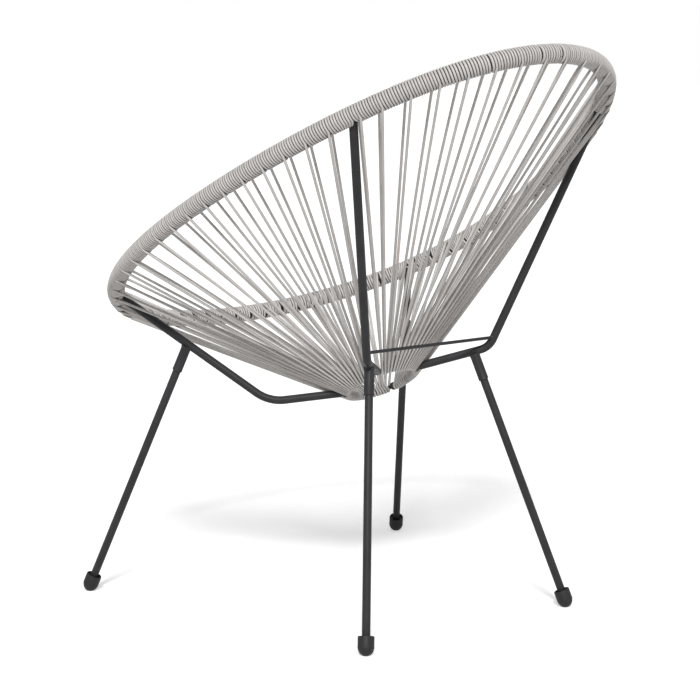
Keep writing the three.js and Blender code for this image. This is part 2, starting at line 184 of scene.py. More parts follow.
class Finish:
    """A material under construction."""

    def __init__(self, name):
        self.material = bpy.data.materials.new(name)
        self.material.use_nodes = True
        self.tree = self.material.node_tree
        self.shader = self.tree.nodes["Principled BSDF"]
        self.place = self.node("ShaderNodeTexCoord", output="Object")

    def node(self, kind, settings=None, values=None, output=0):
        made = self.tree.nodes.new(kind)
        for key, value in (settings or {}).items():
            setattr(made, key, value)
        for key, value in (values or {}).items():
            self.feed(made.inputs[key], value)
        return Signal(self, made.outputs[output])

    def feed(self, socket, value):
        if isinstance(value, Signal):
            self.tree.links.new(value.socket, socket)
        else:
            socket.default_value = value

    def noise(self, scale, detail=2.0, roughness=0.5):
        values = {"Vector": self.place, "Scale": scale, "Detail": detail, "Roughness": roughness}
        return self.node("ShaderNodeTexNoise", values=values)

    def mix(self, factor, first, second):
        """A colour mix; sockets 6 and 7 and output 2 are the node's colour ones."""
        values = {0: factor, 6: first, 7: second}
        return self.node("ShaderNodeMix", {"data_type": "RGBA"}, values, output=2)

    def bump(self, height, strength, distance):
        values = {"Height": height, "Strength": strength, "Distance": distance}
        return self.node("ShaderNodeBump", values=values)

    def surface(self, **sockets):
        for key, value in sockets.items():
            self.feed(self.shader.inputs[key.replace("_", " ")], value)
        return self.material


def rgba(colour, gain=1.0):
    return (*(min(channel * gain, 1.0) for channel in colour), 1.0)


def powder_coat(colours):
    """Satin charcoal powder coat: fine orange peel, faint cloudiness and a few rubbed specks."""
    finish = Finish("Powder Coat")
    peel = finish.noise(scale=1500.0)
    cloud = finish.noise(scale=38.0, detail=3.0)
    speck = finish.noise(scale=420.0, detail=3.0, roughness=0.65).above(0.70, 0.76)
    coat = finish.mix(cloud.above(0.3, 0.7), rgba(colours.steel, 0.86), rgba(colours.steel, 1.16))
    coat = finish.mix(speck * 0.35, coat, rgba(colours.steel, 2.6))
    return finish.surface(
        Base_Color=coat,
        Roughness=0.42 + cloud * 0.14 + speck * 0.1,
        Specular_IOR_Level=0.18,
        Normal=finish.bump(peel, strength=0.22, distance=0.25 * MM),
    )


def cord_skin(colours):
    """Smooth extruded cord: soft sheen, slight tone changes along it, painted shade where two runs
    of cord touch and a faint pebble.
    """
    finish = Finish("Cord Skin")
    tone = finish.noise(scale=16.0, detail=3.0, roughness=0.6)
    grain = finish.noise(scale=900.0)
    ripple = finish.noise(scale=240.0, detail=1.0)
    dust = finish.noise(scale=85.0, detail=4.0, roughness=0.7).above(0.52, 0.74)
    crevice = finish.node("ShaderNodeAttribute", {"attribute_name": "crevice"}, output="Fac")
    base = finish.mix(tone.above(0.3, 0.7), rgba(colours.cord, 0.93), rgba(colours.cord, 1.05))
    base = finish.mix(dust * 0.16, base, rgba(colours.cord, 0.72))
    # Painted shade: the colour darkens almost to black where another run of cord touches the skin
    base = finish.mix(crevice * 0.9, base, rgba(colours.grime))
    return finish.surface(
        Base_Color=base,
        Roughness=0.36 + grain * 0.08 + dust * 0.12,
        Specular_IOR_Level=0.25,
        Normal=finish.bump(grain * 0.4 + ripple * 0.6, strength=0.16, distance=0.25 * MM),
    )


def moulded_rubber(colours):
    """Near-black moulded rubber, a little dusty."""
    finish = Finish("Moulded Rubber")
    grain = finish.noise(scale=1300.0, detail=3.0)
    dust = finish.noise(scale=120.0, detail=4.0, roughness=0.7).above(0.45, 0.8)
    return finish.surface(
        Base_Color=finish.mix(dust * 0.5, rgba(colours.rubber), rgba(colours.rubber, 2.0)),
        Roughness=0.58 + dust * 0.2,
        Specular_IOR_Level=0.3,
        Normal=finish.bump(grain, strength=0.2, distance=0.3 * MM),
    )


FINISHES = {"steel": powder_coat, "cord": cord_skin, "rubber": moulded_rubber}
MATERIALS = {}


def material(slot):
    """The chair's finishes by slot, each made once."""
    if slot not in MATERIALS:
        MATERIALS[slot] = FINISHES[slot](bpy.context.scene.chair_colours)
    return MATERIALS[slot]


# Mesh tools


def put(name, data):
    """A new object in the scene."""
    made = bpy.data.objects.new(name, data)
    bpy.context.scene.collection.objects.link(made)
    return made


def meshed(name, bm):
    """A mesh made from a bmesh, which is then gone."""
    mesh = bpy.data.meshes.new(name)
    bm.to_mesh(mesh)
    bm.free()
    return mesh


def close_skin(bm):
    bmesh.ops.remove_doubles(bm, verts=bm.verts, dist=MERGE_DISTANCE)
    bmesh.ops.recalc_face_normals(bm, faces=bm.faces)


def shade_smooth(bm):
    for face in bm.faces:
        face.smooth = True
    for edge in bm.edges:
        edge.smooth = edge.calc_face_angle(0) < SMOOTH_BELOW


def every(path, spacing):
    """The path's points with more put in between, none further apart than the spacing."""
    points = [path[0]]
    for before, after in zip(path, path[1:]):
        count = max(math.ceil((after - before).length / spacing), 1)
        points += [before.lerp(after, (i + 1) / count) for i in range(count)]
    return points


def mark_crevices(bm, tree, radius, probe):
    """How closely another run of cord faces each point of the skin, 0 for none and 1 for touching;
    it masks the cord's painted shade.
    """
    layer = bm.verts.layers.float.new("crevice")
    bm.normal_update()
    for vert in bm.verts:
        _, _, apart = tree.find(vert.co + vert.normal * probe)
        vert[layer] = min(max((radius + probe - apart) / probe, 0.0), 1.0)


def place_piece(bm, name, slot, node):
    """Turns a bmesh into a piece of the chair that stands for a CAD node."""
    shade_smooth(bm)
    mesh = meshed(name, bm)
    mesh.materials.append(material(slot))
    piece = put(name, mesh)
    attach(piece, "root")
    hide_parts(node)


def add_rods(bm, paths, radius, resolution, closed=False):
    """Round rod or cord along each path, whose points are places or (place, thickness share)."""
    curve = bpy.data.curves.new("rod", "CURVE")
    curve.dimensions = "3D"
    curve.bevel_depth = radius
    curve.bevel_resolution = resolution
    curve.use_fill_caps = not closed
    for path in paths:
        spline = curve.splines.new("POLY")
        spline.points.add(len(path) - 1)
        for point, stop in zip(spline.points, path):
            at, thick = stop if isinstance(stop, tuple) else (stop, 1.0)
            point.co = (*at, 1.0)
            point.radius = thick
        spline.use_cyclic_u = closed
    holder = put("rod", curve)
    evaluated = holder.evaluated_get(bpy.context.evaluated_depsgraph_get())
    mesh = bpy.data.meshes.new_from_object(evaluated)
    bm.from_mesh(mesh)
    bpy.data.objects.remove(holder)
    bpy.data.curves.remove(curve)
    bpy.data.meshes.remove(mesh)
    close_skin(bm)


def spin_round(bm, geom, steps):
    """One full spin about the upright axis."""
    bmesh.ops.spin(
        bm, geom=geom, axis=(0, 0, 1), cent=(0, 0, 0), angle=TURN, steps=steps, use_merge=True
    )


def add_lathe(bm, profile, origin, axis, steps, closed=False, soften=0.0):
    """A profile of (radius, height) given one full spin, stood on origin along axis."""
    turned = bmesh.new()
    points = [turned.verts.new((radius, 0, height)) for radius, height in profile]
    pairs = list(zip(points, points[1:]))
    if closed:
        pairs.append((points[-1], points[0]))
    edges = [turned.edges.new(pair) for pair in pairs]
    spin_round(turned, points + edges, steps)
    close_skin(turned)
    if soften:
        crisp = [edge for edge in turned.edges if edge.calc_face_angle(0) > SOFTEN_ABOVE]
        bmesh.ops.bevel(
            turned,
            geom=crisp,
            offset=soften,
            segments=2,
            profile=0.5,
            affect="EDGES",
            material=-1,
            clamp_overlap=True,
        )
    stand = Vector((0, 0, 1)).rotation_difference(axis).to_matrix().to_4x4()
    bmesh.ops.transform(turned, matrix=Matrix.Translation(origin) @ stand, verts=turned.verts)
    made = meshed("lathe", turned)
    bm.from_mesh(made)
    bpy.data.meshes.remove(made)


def mirror_piece(bm):
    """The same piece on the chair's right side."""
    bmesh.ops.scale(bm, vec=(-1, 1, 1), verts=bm.verts)
    bmesh.ops.recalc_face_normals(bm, faces=bm.faces)


# Centrelines of the chair


class Hoop:
    """The hoop's centreline, measured from the front middle up the left side and round."""

    SAMPLES = 1440

    def __init__(self, sizes):
        self.sizes = sizes
        self.up = Vector((0, -math.sin(sizes.tilt), math.cos(sizes.tilt)))
        turns = ((i / self.SAMPLES - 0.5) * math.pi for i in range(self.SAMPLES + 1))
        self.points = [self.outline(turn) for turn in turns]
        self.lengths = [0.0]
        for before, after in zip(self.points, self.points[1:]):
            self.lengths.append(self.lengths[-1] + (after - before).length)
        self.half = self.lengths[-1]

    def outline(self, turn):
        sizes = self.sizes
        along = math.sin(turn)
        taper = sum(share * along**power for power, share in enumerate(sizes.taper))
        reach = sizes.half_length * along
        return Vector(
            (
                sizes.half_width * math.cos(turn) * taper,
                reach * math.cos(sizes.tilt),
                sizes.height + reach * math.sin(sizes.tilt),
            )
        )

    def at(self, run):
        """(point, tangent) at a length along the hoop."""
        run %= 2 * self.half
        right = run > self.half
        want = 2 * self.half - run if right else run
        i = min(max(bisect.bisect_left(self.lengths, want), 1), self.SAMPLES)
        share = (want - self.lengths[i - 1]) / (self.lengths[i] - self.lengths[i - 1])
        before, after = self.points[i - 1], self.points[i]
        point = before.lerp(after, share)
        tangent = (after - before).normalized()
        if right:
            point.x = -point.x
            tangent = Vector((tangent.x, -tangent.y, -tangent.z))
        return point, tangent


class Ring:
    """The base ring's centreline by angle, -90 degrees at the front."""

    def __init__(self, sizes):
        self.sizes = sizes

    def at(self, turn):
        """(point, tangent) at an angle round the ring."""
        sizes = self.sizes
        side, reach = math.cos(turn), math.sin(turn)
        level, slope = math.cos(sizes.tilt), math.sin(sizes.tilt)
        back = reach * sizes.radius
        point = Vector(sizes.middle) + Vector((side * sizes.radius, back * level, back * slope))
        return point, Vector((-reach, side * level, side * slope))


class Stringing:
    """Places of the cord pairs on the hoop and round the base ring, section by section.

    GROUPS gives the pairs of each section in front of, between and behind the arms, and
    ARM_SLIDES how far an arm's end lies past the middle of its room on the ring.
    """

    GROUPS = ((6, 5), (6, 5, 5), (4, 4))
    ARM_SLIDES = (0.0018, 0.0017)

    def __init__(self, scene):
        self.cord = scene.chair_cord
        self.arms = scene.chair_arms
        self.hoop = Hoop(scene.chair_hoop)
        self.ring = Ring(scene.chair_ring)
        self.tube = scene.chair_hoop.tube_radius
        self.rod = scene.chair_ring.rod_radius
        half = self.hoop.half
        self.front = self.arms.front_share * half
        self.rear = self.arms.rear_share * half
        self.arm_runs = (self.front - self.arms.front_slip, self.rear)
        self.lay_out()

    def runs(self, tighten):
        """Pair places of a half in front of, between and behind its arms."""
        cord = self.cord
        beside = self.arms.radius + cord.radius + FIT_GAP + cord.pair_spread / 2
        front_step = self.front / (cord.front_pairs + 0.5)
        side_step = (self.rear - self.front) / (cord.side_pairs + cord.side_lead)
        side_steps = [i + cord.side_lead for i in range(cord.side_pairs)]
        reach = self.hoop.half - self.rear
        rear_shares = [
            cord.rear_step * (i + 1) - tighten * i * (i + 1) / 2 for i in range(cord.rear_pairs)
        ]
        return (
            [front_step * (i + 0.5) for i in range(cord.front_pairs)],
            [self.front + beside] + [self.front + side_step * steps for steps in side_steps],
            [self.rear + beside] + [self.rear + share * reach for share in rear_shares],
        )

    def sections_of(self, runs):
        """(start, end, pairs) of each section of a half, and the arms' angles round the ring."""
        cord, half = self.cord, self.hoop.half
        arm_room = 2 * (self.arms.radius + cord.arm_room)
        splits = sum(len(group) - 1 for group in self.GROUPS) + 1
        pairs = sum(len(run) for run in runs)
        radius = self.ring.sizes.radius
        step = (math.pi * radius - splits * cord.split - (len(runs) - 1) * arm_room) / pairs
        self.ring_step = step
        ends = (0.0, self.front, self.rear, half)
        sections = []
        arm_turns = []
        spot = cord.split / 2
        for r, (run, group) in enumerate(zip(runs, self.GROUPS)):
            made = 0
            for count in group:
                own = run[made : made + count]
                low = ends[r] if made == 0 else (run[made - 1] + run[made]) / 2
                made += count
                high = ends[r + 1] if made == len(run) else (run[made - 1] + run[made]) / 2
                turns = [(spot + (i + 0.5) * step) / radius - QUARTER for i in range(count)]
                sections.append((low, high, list(zip(own, turns))))
                spot += count * step
                if made == len(run) and r < len(runs) - 1:
                    arm_turns.append((spot + arm_room / 2 + self.ARM_SLIDES[r]) / radius - QUARTER)
                    spot += arm_room
                else:
                    spot += cord.split
        return sections, arm_turns

    def leans(self, runs):
        """How far each loop of a half leans along the base ring to the nearest arm."""
        cord = self.cord
        fade = cord.arm_lean / cord.lean_loops
        leans = []
        for r, run in enumerate(runs):
            for i in range(len(run)):
                back = cord.arm_lean - fade * i if r > 0 else 0.0
                ahead = cord.arm_lean - fade * (len(run) - 1 - i) if r < len(runs) - 1 else 0.0
                leans.append(max(ahead, 0.0) - max(back, 0.0))
        return leans

    def lay_out(self):
        half = self.hoop.half
        self.left, self.arm_turns = self.sections_of(self.runs(self.cord.rear_tighten))
        right, _ = self.sections_of(self.runs(0))
        mirrored = []
        for low, high, own in reversed(right):
            pairs = [(2 * half - run, math.pi - turn) for run, turn in reversed(own)]
            mirrored.append((2 * half - high, 2 * half - low, pairs))
        self.sections = self.left + mirrored
        self.right_start = mirrored[0][2][0][0]
        runs, turns = zip(*(pair for _, _, own in self.sections for pair in own))
        self.knot_runs = [runs[-1] - 2 * half, *runs, runs[0] + 2 * half]
        self.knot_turns = [turns[-1] - TURN, *turns, turns[0] + TURN]
        leans = self.leans(self.runs(0))
        self.lean_at = dict(zip(runs, leans + [-lean for lean in reversed(leans)]))

    def turn_for(self, run):
        """Angle round the base ring that belongs to a length along the hoop."""
        run %= 2 * self.hoop.half
        i = min(max(bisect.bisect_left(self.knot_runs, run), 1), len(self.knot_runs) - 1)
        low, high = self.knot_runs[i - 1], self.knot_runs[i]
        share = (run - low) / (high - low)
        return self.knot_turns[i - 1] * (1 - share) + self.knot_turns[i] * share


def rounded_corner(start, corner, end, radius, steps):
    """Stations of a rod from start to end with its corner bent to a radius."""
    back = (start - corner).normalized()
    onward = (end - corner).normalized()
    half = back.angle(onward) / 2
    setback = radius / math.tan(half)
    centre = corner + (back + onward).normalized() * (radius / math.sin(half))
    first = corner + back * setback - centre
    last = corner + onward * setback - centre
    axis = first.cross(last).normalized()
    sweep = first.angle(last)
    bend = [Matrix.Rotation(sweep * i / steps, 3, axis) @ first + centre for i in range(steps + 1)]
    return [start, *bend, end]


def arm_route(strings, rear):
    """Hoop end, corner and ring end of the left front or left rear arm."""
    arms = strings.arms
    hoop_point, _ = strings.hoop.at(strings.arm_runs[rear])
    corner = Vector(arms.rear_bend if rear else arms.front_bend)
    ring_point, _ = strings.ring.at(strings.arm_turns[rear])
    ring_end = ring_point + (corner - ring_point).normalized() * (strings.rod + FIT_GAP)
    return hoop_point, corner, ring_end


def rounded_end(points, radius, steps=5, tip_share=0.04):
    """The route with its last stretch closed by a dome."""
    end = points[-1]
    onward = (end - points[-2]).normalized()
    dome = []
    for i in range(1, steps + 1):
        turn = QUARTER * i / steps
        dome.append((end - onward * radius * (1 - math.sin(turn)), max(math.cos(turn), tip_share)))
    return [*points[:-1], end - onward * radius, *dome]


# Cord


def facing(way, side):
    """The way, turned round if it points away from the side."""
    return -way if way.dot(side) < 0 else way


def winding_frame(strings, run):
    """Hoop point, tangent, way to the ring and seat-side normal at a length along the hoop."""
    point, tangent = strings.hoop.at(run)
    ring_point, ring_tangent = strings.ring.at(strings.turn_for(run))
    along = (ring_point - point).normalized()
    inward = facing((tangent + ring_tangent).cross(along).normalized(), strings.hoop.up)
    inward = (inward - tangent * inward.dot(tangent)).normalized()
    onward = facing(inward.cross(tangent).normalized(), along)
    return point, tangent, onward, inward


def wrap_point(strings, run, turn, radius):
    """A point of the winding; the turn is 90 degrees on the seat side and 270 underneath."""
    point, tangent, onward, inward = winding_frame(strings, run)
    return point + onward * (math.cos(turn) * radius) + inward * (math.sin(turn) * radius)


class CordLayer:
    """Turns the pair places into the route of the cord."""

    POINTS_PER_TURN = 20
    LOOP_STEPS = 10
    WINDING_GAP = 0.05 * MM
    LOOP_GAP = 0.1 * MM
    # Half the way along the ring between a loop's two ends, in steps of the ring
    LOOP_SLANT = 0.15
    # Places at which a strand's bow is drawn, and the spread of the bows in millimetres
    STRAND_SHARES = (0.06, 0.2, 0.35, 0.5, 0.65, 0.8, 0.94)
    BOW_SPREAD = 0.35
    # Rests, where the winding parts: before a pair, by how much, and how far it is felt
    REST_LEAD = 5 * MM
    REST_GAPS = (0.0009, 0.0014, 0.0016)
    REST_REACH = 12 * MM
    # Way made for an arm: the gap, and how far it is felt along the hoop and round the tube
    ARM_GAP = 0.2 * MM
    ARM_REACH = 24 * MM
    ARM_TURN = math.radians(85)

    def __init__(self, strings):
        self.strings = strings
        self.radius = strings.tube + strings.cord.radius + self.WINDING_GAP
        self.dice = random.Random(11)
        rear = [run for run, _ in strings.left[-1][2]]
        rested = (rear[1], rear[3], strings.right_start)
        self.rests = [(run - self.REST_LEAD, gap) for run, gap in zip(rested, self.REST_GAPS)]
        self.posts = self.find_posts()

    def find_posts(self):
        """(length along the hoop, turn) at which each arm leaves the hoop."""
        posts = []
        for rear in (False, True):
            hoop_point, corner, _ = arm_route(self.strings, rear)
            run = self.strings.arm_runs[rear]
            _, tangent, onward, inward = winding_frame(self.strings, run)
            leave = (corner - hoop_point).normalized()
            turn = math.atan2(leave.dot(inward), leave.dot(onward))
            posts += [(run, turn), (2 * self.strings.hoop.half - run, turn)]
        return posts

    def eased(self, run, turn):
        """A turn's place, moved aside from an arm or from a rest in the winding."""
        for post, leave in self.posts:
            off = run - post
            if abs(off) < self.ARM_REACH:
                apart = abs((turn - leave + math.pi) % TURN - math.pi)
                weight = max(0.0, 1 - apart / self.ARM_TURN)
                weight = weight * weight * (3 - 2 * weight)
                clear = self.strings.arms.radius + self.strings.cord.radius + self.ARM_GAP
                run += weight * math.copysign(clear * (1 - abs(off) / self.ARM_REACH), off)
        for rest, gap in self.rests:
            off = run - rest
            if abs(off) < self.REST_REACH:
                run += math.copysign(gap * (1 - abs(off) / self.REST_REACH), off)
        return run

    def wrap(self, low, high, low_turn, high_turn):
        """Winding from one length and turn to another."""
        count = max(int(round((high_turn - low_turn) / TURN * self.POINTS_PER_TURN)), 1)
        path = []
        for i in range(count + 1):
            share = i / count
            run = low + (high - low) * share
            turn = low_turn + (high_turn - low_turn) * share
            path.append(wrap_point(self.strings, self.eased(run, turn), turn, self.radius))
        return path

    def shift(self, run):
        """Half the way along the hoop from a pair's outer strand to its inner one."""
        strings = self.strings
        run %= 2 * strings.hoop.half
        behind = strings.rear < run < 2 * strings.hoop.half - strings.rear
        return (-strings.cord.rear_spread if behind else strings.cord.pair_spread) / 2

    def stretch(self, low_pair, high_pair):
        """(start, end, start turn, end turn) of the winding between two pairs."""
        low = low_pair + self.shift(low_pair)
        high = high_pair - self.shift(high_pair)
        whole = max(round((high - low) / self.strings.cord.pitch - 0.5), 0)
        return low, high, QUARTER, QUARTER + math.pi + whole * TURN

    def strand(self, start, end):
        """A strand with a slight bow, its ends left out."""
        along = end - start
        side = along.cross(self.strings.hoop.up).normalized()
        lift = along.cross(side).normalized()
        across, over = (self.dice.gauss(0, self.BOW_SPREAD) * MM for _ in range(2))
        path = []
        for share in self.STRAND_SHARES:
            wave = math.sin(share * math.pi)
            path.append(start + along * share + (side * across + lift * over) * wave)
        return path

    def pair_path(self, run, turn):
        """Down outside the seat, under the base ring and up inside the seat."""
        strings = self.strings
        shift = self.shift(run)
        slant = self.LOOP_SLANT * strings.ring_step / strings.ring.sizes.radius
        reach = strings.rod + strings.cord.radius + self.LOOP_GAP
        ends = []
        for side in (-1, 1):
            top_turn = QUARTER if side > 0 else 3 * QUARTER
            off = self.radius + strings.cord.strand_lift
            top = wrap_point(strings, self.eased(run + side * shift, top_turn), top_turn, off)
            ring_point, ring_tangent = strings.ring.at(turn + side * slant)
            along = (ring_point - top).normalized()
            _, tangent = strings.hoop.at(run)
            inward = facing((tangent + ring_tangent).cross(along).normalized(), strings.hoop.up)
            ends.append((top, ring_point, along, inward))
        (top_out, ring_out, along_out, in_out), (top_in, ring_in, along_in, in_in) = ends
        loop = []
        for i in range(self.LOOP_STEPS + 1):
            share = i / self.LOOP_STEPS
            bend = share * math.pi
            lean = strings.lean_at[run] * math.sin(bend)
            middle = ring_out.lerp(ring_in, share) + ring_tangent * lean
            inward = in_out.lerp(in_in, share).normalized()
            along = along_out.lerp(along_in, share).normalized()
            around = along * (math.sin(bend) * reach)
            loop.append(middle - inward * (math.cos(bend) * reach) + around)
        down = self.strand(top_out, loop[0])
        up = self.strand(loop[-1], top_in)
        return [top_out, *down, *loop, *up, top_in]

    def section_path(self, index):
        """The cord of one section, from its lower border to its upper one."""
        sections = self.strings.sections
        whole = 2 * self.strings.hoop.half
        low, high, own = sections[index]
        before = sections[index - 1][2][-1][0] - (whole if index == 0 else 0)
        last = index == len(sections) - 1
        after = sections[0 if last else index + 1][2][0][0] + (whole if last else 0)
        path = []
        places = [before, *(run for run, _ in own), after]
        for i, (near, far) in enumerate(zip(places, places[1:])):
            start, end, start_turn, end_turn = self.stretch(near, far)
            if i == 0:
                start, start_turn = self.station(near, far, low)
            if i == len(own):
                end, end_turn = self.station(near, far, high)
            path += self.wrap(start, end, start_turn, end_turn)
            if i < len(own):
                path = path[:-1] + self.pair_path(*own[i])[:-1]
        return path

    def station(self, near, far, border):
        """(length along the hoop, turn) of the winding's point nearest to a section's border."""
        start, end, start_turn, end_turn = self.stretch(near, far)
        share = (border - start) / (end - start)
        step = TURN / self.POINTS_PER_TURN
        turn = start_turn + round((end_turn - start_turn) * share / step) * step
        return start + (end - start) * (turn - start_turn) / (end_turn - start_turn), turn


# Operators


class CHAIR_OT_roll_hoop(bpy.types.Operator):
    """Roll the egg-shaped hoop tube"""

    bl_idname = "chair.roll_hoop"
    bl_label = "Roll Hoop"

    STATIONS = 240
    ROUNDNESS = 6

    def execute(self, context):
        hoop = Hoop(context.scene.chair_hoop)
        path = [hoop.at(2 * hoop.half * i / self.STATIONS)[0] for i in range(self.STATIONS)]
        bm = bmesh.new()
        add_rods(bm, [path], hoop.sizes.tube_radius, self.ROUNDNESS, closed=True)
        place_piece(bm, "hoop_rolled_tube", "steel", "hoop_tube")
        return {"FINISHED"}


class CHAIR_OT_bend_base_ring(bpy.types.Operator):
    """Bend the base ring under the seat"""

    bl_idname = "chair.bend_base_ring"
    bl_label = "Bend Base Ring"

    ROD_STEPS = 16
    RING_STEPS = 120

    def execute(self, context):
        sizes = context.scene.chair_ring
        bm = bmesh.new()
        circle = bmesh.ops.create_circle(bm, segments=self.ROD_STEPS, radius=sizes.rod_radius)
        stand = Matrix.Translation((sizes.radius, 0, 0)) @ Matrix.Rotation(QUARTER, 4, "X")
        bmesh.ops.transform(bm, matrix=stand, verts=circle["verts"])
        spin_round(bm, bm.verts[:] + bm.edges[:], self.RING_STEPS)
        bmesh.ops.recalc_face_normals(bm, faces=bm.faces)
        lay = Matrix.Translation(sizes.middle) @ Matrix.Rotation(sizes.tilt, 4, "X")
        bmesh.ops.transform(bm, matrix=lay, verts=bm.verts)
        place_piece(bm, "base_ring_rod", "steel", "base_ring")
        return {"FINISHED"}


class CHAIR_OT_bend_arms(bpy.types.Operator):
    """Bend the four arms and weld on the crossbar"""

    bl_idname = "chair.bend_arms"
    bl_label = "Bend Arms"

    BEND_STEPS = 20
    ROD_ROUNDNESS = 8
    BAR_ROUNDNESS = 6
    # How far an arm starts inside the hoop tube's wall
    ARM_SINK = 1.5 * MM
    # The weld round an arm, as (past the arm's radius, above the weld's foot)
    WELD_SINK = 1.2 * MM
    WELD = ((1.6 * MM, 0), (1.3 * MM, 1.6 * MM), (0.4 * MM, 2.8 * MM))
    WELD_HEIGHT = 3.2 * MM
    WELD_INSIDE = 0.9
    WELD_STEPS = 28
    # The crossbar ends inside the arms; its beads, past its own radius and the arm's
    BAR_END = 0.75
    BEAD_INSIDE = 0.8
    BEAD_FOOT = 1.5 * MM
    BEAD_WAIST = (0.7 * MM, 0.6 * MM)
    BEAD_HEIGHT = 1.4 * MM
    BEAD_STEPS = 20

    def execute(self, context):
        arms = context.scene.chair_arms
        strings = Stringing(context.scene)
        for rear, kind in FRONT_REAR:
            hoop_point, corner, ring_end = arm_route(strings, rear)
            radius = arms.rear_bend_radius if rear else arms.front_bend_radius
            into = (corner - hoop_point).normalized()
            start = hoop_point + into * (strings.tube - self.ARM_SINK)
            route = rounded_corner(start, corner, ring_end, radius, self.BEND_STEPS)
            for side in LEFT_RIGHT:
                bm = bmesh.new()
                path = rounded_end(route, arms.radius)
                add_rods(bm, [path], arms.radius, self.ROD_ROUNDNESS)
                self.add_hoop_weld(bm, hoop_point, into, strings.tube, arms.radius)
                if side == "right":
                    mirror_piece(bm)
                node = f"{kind}_arm_{side}"
                place_piece(bm, f"{node}_bent_rod", "steel", node)
            if rear:
                self.add_crossbar(arms, route)
        return {"FINISHED"}

    def add_hoop_weld(self, bm, hoop_point, into, tube, radius):
        foot = tube - self.WELD_SINK
        inside = radius * self.WELD_INSIDE
        bead = [
            (inside, foot),
            *((radius + out, foot + height) for out, height in self.WELD),
            (inside, foot + self.WELD_HEIGHT),
        ]
        add_lathe(bm, bead, hoop_point, into, self.WELD_STEPS, closed=True)

    def add_crossbar(self, arms, route):
        height = arms.rear_bend[2] + arms.bar_above_bend
        i = next(n for n, point in enumerate(route) if point.z < height)
        above, below = route[i - 1], route[i]
        end = above.lerp(below, (above.z - height) / (above.z - below.z))
        right = Vector((-end.x, end.y, end.z))
        inset = Vector((arms.radius * self.BAR_END, 0, 0))
        bm = bmesh.new()
        add_rods(bm, [[right + inset, end - inset]], arms.bar_radius, self.BAR_ROUNDNESS)
        inside = arms.bar_radius * self.BEAD_INSIDE
        foot = arms.radius * self.BEAD_INSIDE
        waist_out, waist_height = self.BEAD_WAIST
        bead = [
            (inside, foot),
            (arms.bar_radius + self.BEAD_FOOT, foot),
            (arms.bar_radius + waist_out, arms.radius + waist_height),
            (inside, arms.radius + self.BEAD_HEIGHT),
        ]
        for middle, way in ((end, Vector((-1, 0, 0))), (right, Vector((1, 0, 0)))):
            add_lathe(bm, bead, middle, way, self.BEAD_STEPS, closed=True)
        place_piece(bm, "rear_crossbar_rod", "steel", "rear_crossbar")


def corner_axis(context, rear):
    """Seat of a socket on its arm, axis down the leg and distance to the foot dome's middle."""
    legs = context.scene.chair_legs
    hoop_point, corner, ring_end = arm_route(Stringing(context.scene), rear)
    towards = ring_end if rear else hoop_point
    reach = legs.rear_socket if rear else legs.front_socket
    seat = corner + (towards - corner).normalized() * reach
    foot = Vector(legs.rear_foot if rear else legs.front_foot)
    dome = Vector((foot.x, foot.y, legs.cap_radius - legs.cap_flat))
    return seat, (dome - seat).normalized(), (dome - seat).length


def turn_pieces(context, part, slot, profile_of, closed=False, soften=0.0, bottom=None):
    """The same turned piece at all four corners, cut off flat at a bottom height."""
    for rear, kind in FRONT_REAR:
        seat, axis, down = corner_axis(context, rear)
        for side in LEFT_RIGHT:
            bm = bmesh.new()
            profile = profile_of(context.scene.chair_legs, down)
            add_lathe(bm, profile, seat, axis, LATHE_STEPS, closed=closed, soften=soften)
            if bottom is not None:
                bmesh.ops.bisect_plane(
                    bm,
                    geom=bm.verts[:] + bm.edges[:] + bm.faces[:],
                    plane_co=(0, 0, bottom),
                    plane_no=(0, 0, -1),
                    clear_outer=True,
                )
                bmesh.ops.holes_fill(bm, edges=[edge for edge in bm.edges if edge.is_boundary])
            if side == "right":
                mirror_piece(bm)
            node = f"{kind}_{part}_{side}"
            place_piece(bm, f"{node}_turned", slot, node)


class CHAIR_OT_turn_sockets(bpy.types.Operator):
    """Turn the leg sockets that are welded under the arms"""

    bl_idname = "chair.turn_sockets"
    bl_label = "Turn Sockets"

    # Top of the socket from the arm's middle, then (past its radius, along it) down its flare
    TOP = 3 * MM
    FLARE = ((0.9 * MM, TOP), (0.7 * MM, 5.6 * MM), (0.2 * MM, 7.4 * MM), (0, 9.2 * MM))
    # The rolled lip, as (past its radius, past its end)
    LIP = ((0, -1.9 * MM), (0.25 * MM, -1.5 * MM), (0.25 * MM, -0.4 * MM), (-0.1 * MM, 0))

    def execute(self, context):
        turn_pieces(context, "socket", "steel", self.profile, closed=True)
        return {"FINISHED"}

    def profile(self, legs, down):
        bore = legs.radius + FIT_GAP
        outer, end = legs.socket_radius, legs.socket_reach
        return [
            (bore, self.TOP),
            *((outer + out, along) for out, along in self.FLARE),
            *((outer + out, end + past) for out, past in self.LIP),
            (bore, end),
        ]


class CHAIR_OT_turn_legs(bpy.types.Operator):
    """Turn the four plug-in legs"""

    bl_idname = "chair.turn_legs"
    bl_label = "Turn Legs"

    # Top of the leg from the arm's middle, and the rounding of its rims
    TOP = 9 * MM
    RIM = 0.6 * MM

    def execute(self, context):
        turn_pieces(context, "leg", "steel", self.profile, soften=self.RIM)
        return {"FINISHED"}

    def profile(self, legs, down):
        end = down - legs.cap_top + CAP_BORE - FIT_GAP
        return [(0, self.TOP), (legs.radius, self.TOP), (legs.radius, end), (0, end)]


